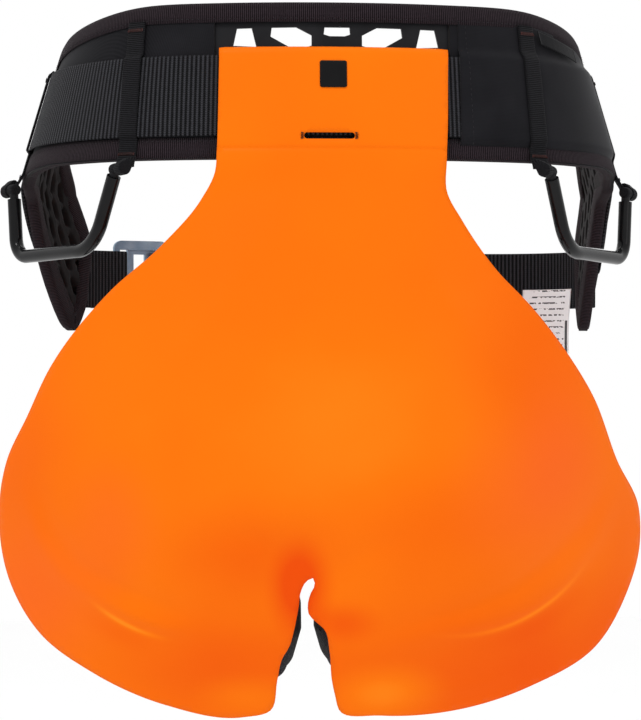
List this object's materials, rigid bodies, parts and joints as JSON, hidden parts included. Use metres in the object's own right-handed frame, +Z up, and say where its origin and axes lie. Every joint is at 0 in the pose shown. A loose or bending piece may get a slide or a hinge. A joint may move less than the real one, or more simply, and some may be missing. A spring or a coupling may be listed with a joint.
{
  "type": "climbing sit harness",
  "caption": "Padded waist belt with front buckle, gear loops, adjustable leg loops, belay loop and a wrap-round coated seat protector hanging from the back of the belt.",
  "frame": {"origin": "centre of the waist ring, level with the middle of the belt at the small of the back", "axes": "+Z up the wearer's spine, +Y to the wearer's front, +X to the wearer's right"},
  "size_m": [0.4498, 0.3764, 0.4688],
  "materials": {
    "foam": "perforated closed-cell foam, dull",
    "shell_fabric": "coated nylon, slight sheen",
    "frame_plastic": "moulded, matt",
    "grosgrain": "ribbed binding tape",
    "webbing": "ribbed polyester webbing",
    "gear_tube": "smooth glossy tube",
    "gear_core": "bent plastic-covered cord",
    "buckle_alloy": "slate-blue anodised",
    "seat_coated": "orange coated cloth, satin",
    "badge_print": "flat printed square",
    "label_white": "satin label",
    "label_black": "woven label",
    "elastic": "flat elastic",
    "grip_tape": "hook-and-loop tape"
  },
  "bodies": {
    "waist_belt": {"left_hip_pad": "foam", "right_hip_pad": "foam", "left_face_panel": "shell_fabric", "right_face_panel": "shell_fabric", "back_frame": "frame_plastic", "belt_binding": "grosgrain", "waist_webbing": "webbing", "right_webbing_cover": "shell_fabric", "keeper_rear_left": "webbing", "keeper_front_left": "webbing", "keeper_rear_right": "webbing", "keeper_front_right": "webbing", "woven_label": "label_black", "instruction_label": "label_white", "waist_buckle_frame": "buckle_alloy", "buckle_strap": "webbing", "front_strap": "webbing", "belt_tail_keeper": "elastic", "tie_in_loop": "webbing", "leg_bridge": "webbing", "seat_sleeve": "seat_coated", "seat_badge": "badge_print", "riser_left": "elastic", "riser_right": "elastic"},
    "gear_loop_left": {"gear_loop_core_left": "gear_core", "gear_loop_tube_left": "gear_tube"},
    "gear_loop_right": {"gear_loop_core_right": "gear_core", "gear_loop_tube_right": "gear_tube"},
    "belay_loop": {"belay_loop": "webbing", "belay_loop_keeper": "elastic"},
    "waist_buckle_slider": {"waist_buckle_slider": "buckle_alloy"},
    "seat": {"seat_panel": "seat_coated", "seat_grip_left": "grip_tape", "seat_grip_right": "grip_tape"},
    "leg_loop_left": {"leg_pad_left": "foam", "leg_binding_left": "grosgrain", "leg_webbing_left": "webbing", "leg_grip_left": "grip_tape", "leg_front_strap_left": "webbing", "leg_buckle_frame_left": "buckle_alloy", "leg_strap_tail_left": "webbing"},
    "leg_buckle_slider_left": {"leg_buckle_slider_left": "buckle_alloy"},
    "leg_loop_right": {"leg_pad_right": "foam", "leg_binding_right": "grosgrain", "leg_webbing_right": "webbing", "leg_grip_right": "grip_tape", "leg_front_strap_right": "webbing", "leg_buckle_frame_right": "buckle_alloy", "leg_strap_tail_right": "webbing"},
    "leg_buckle_slider_right": {"leg_buckle_slider_right": "buckle_alloy"}
  },
  "joints": [
    {"name": "gear_loop_left_swing", "type": "hinge", "parent": "waist_belt", "child": "gear_loop_left", "pos_m": [-0.14326, -0.13186, -0.05731], "axis": [-0.5445, 0.8374, -0.0481], "range_deg": [0, 75]},
    {"name": "gear_loop_right_swing", "type": "hinge", "parent": "waist_belt", "child": "gear_loop_right", "pos_m": [0.14326, -0.13186, -0.05731], "axis": [-0.5445, -0.8374, 0.0481], "range_deg": [0, 75]},
    {"name": "belay_loop_turn", "type": "hinge", "parent": "waist_belt", "child": "belay_loop", "pos_m": [-0.01, 0.174, -0.182], "axis": [0, 0.1322, 0.9912], "range_deg": [-15, 15]},
    {"name": "waist_buckle_tilt", "type": "hinge", "parent": "waist_belt", "child": "waist_buckle_slider", "pos_m": [-0.13795, 0.14598, -0.121], "axis": [0, 0, 1], "range_deg": [0, 30]},
    {"name": "seat_swing", "type": "hinge", "parent": "waist_belt", "child": "seat", "pos_m": [0, -0.1594, -0.06], "axis": [-1, 0, 0], "range_deg": [0, 35]},
    {"name": "leg_loop_left_swing", "type": "hinge", "parent": "waist_belt", "child": "leg_loop_left", "pos_m": [-0.01, 0.166, -0.242], "axis": [-1, 0, 0], "range_deg": [0, 15], "deforming": ["riser_left"]},
    {"name": "leg_buckle_left_tilt", "type": "hinge", "parent": "leg_loop_left", "child": "leg_buckle_slider_left", "pos_m": [-0.09202, 0.104, -0.29724], "axis": [-0.3746, 0, -0.9272], "range_deg": [0, 30]},
    {"name": "leg_loop_right_swing", "type": "hinge", "parent": "waist_belt", "child": "leg_loop_right", "pos_m": [-0.01, 0.166, -0.242], "axis": [-1, 0, 0], "range_deg": [0, 15], "deforming": ["riser_right"]},
    {"name": "leg_buckle_right_tilt", "type": "hinge", "parent": "leg_loop_right", "child": "leg_buckle_slider_right", "pos_m": [0.07202, 0.104, -0.29724], "axis": [-0.3746, 0, 0.9272], "range_deg": [0, 30]}
  ]
}
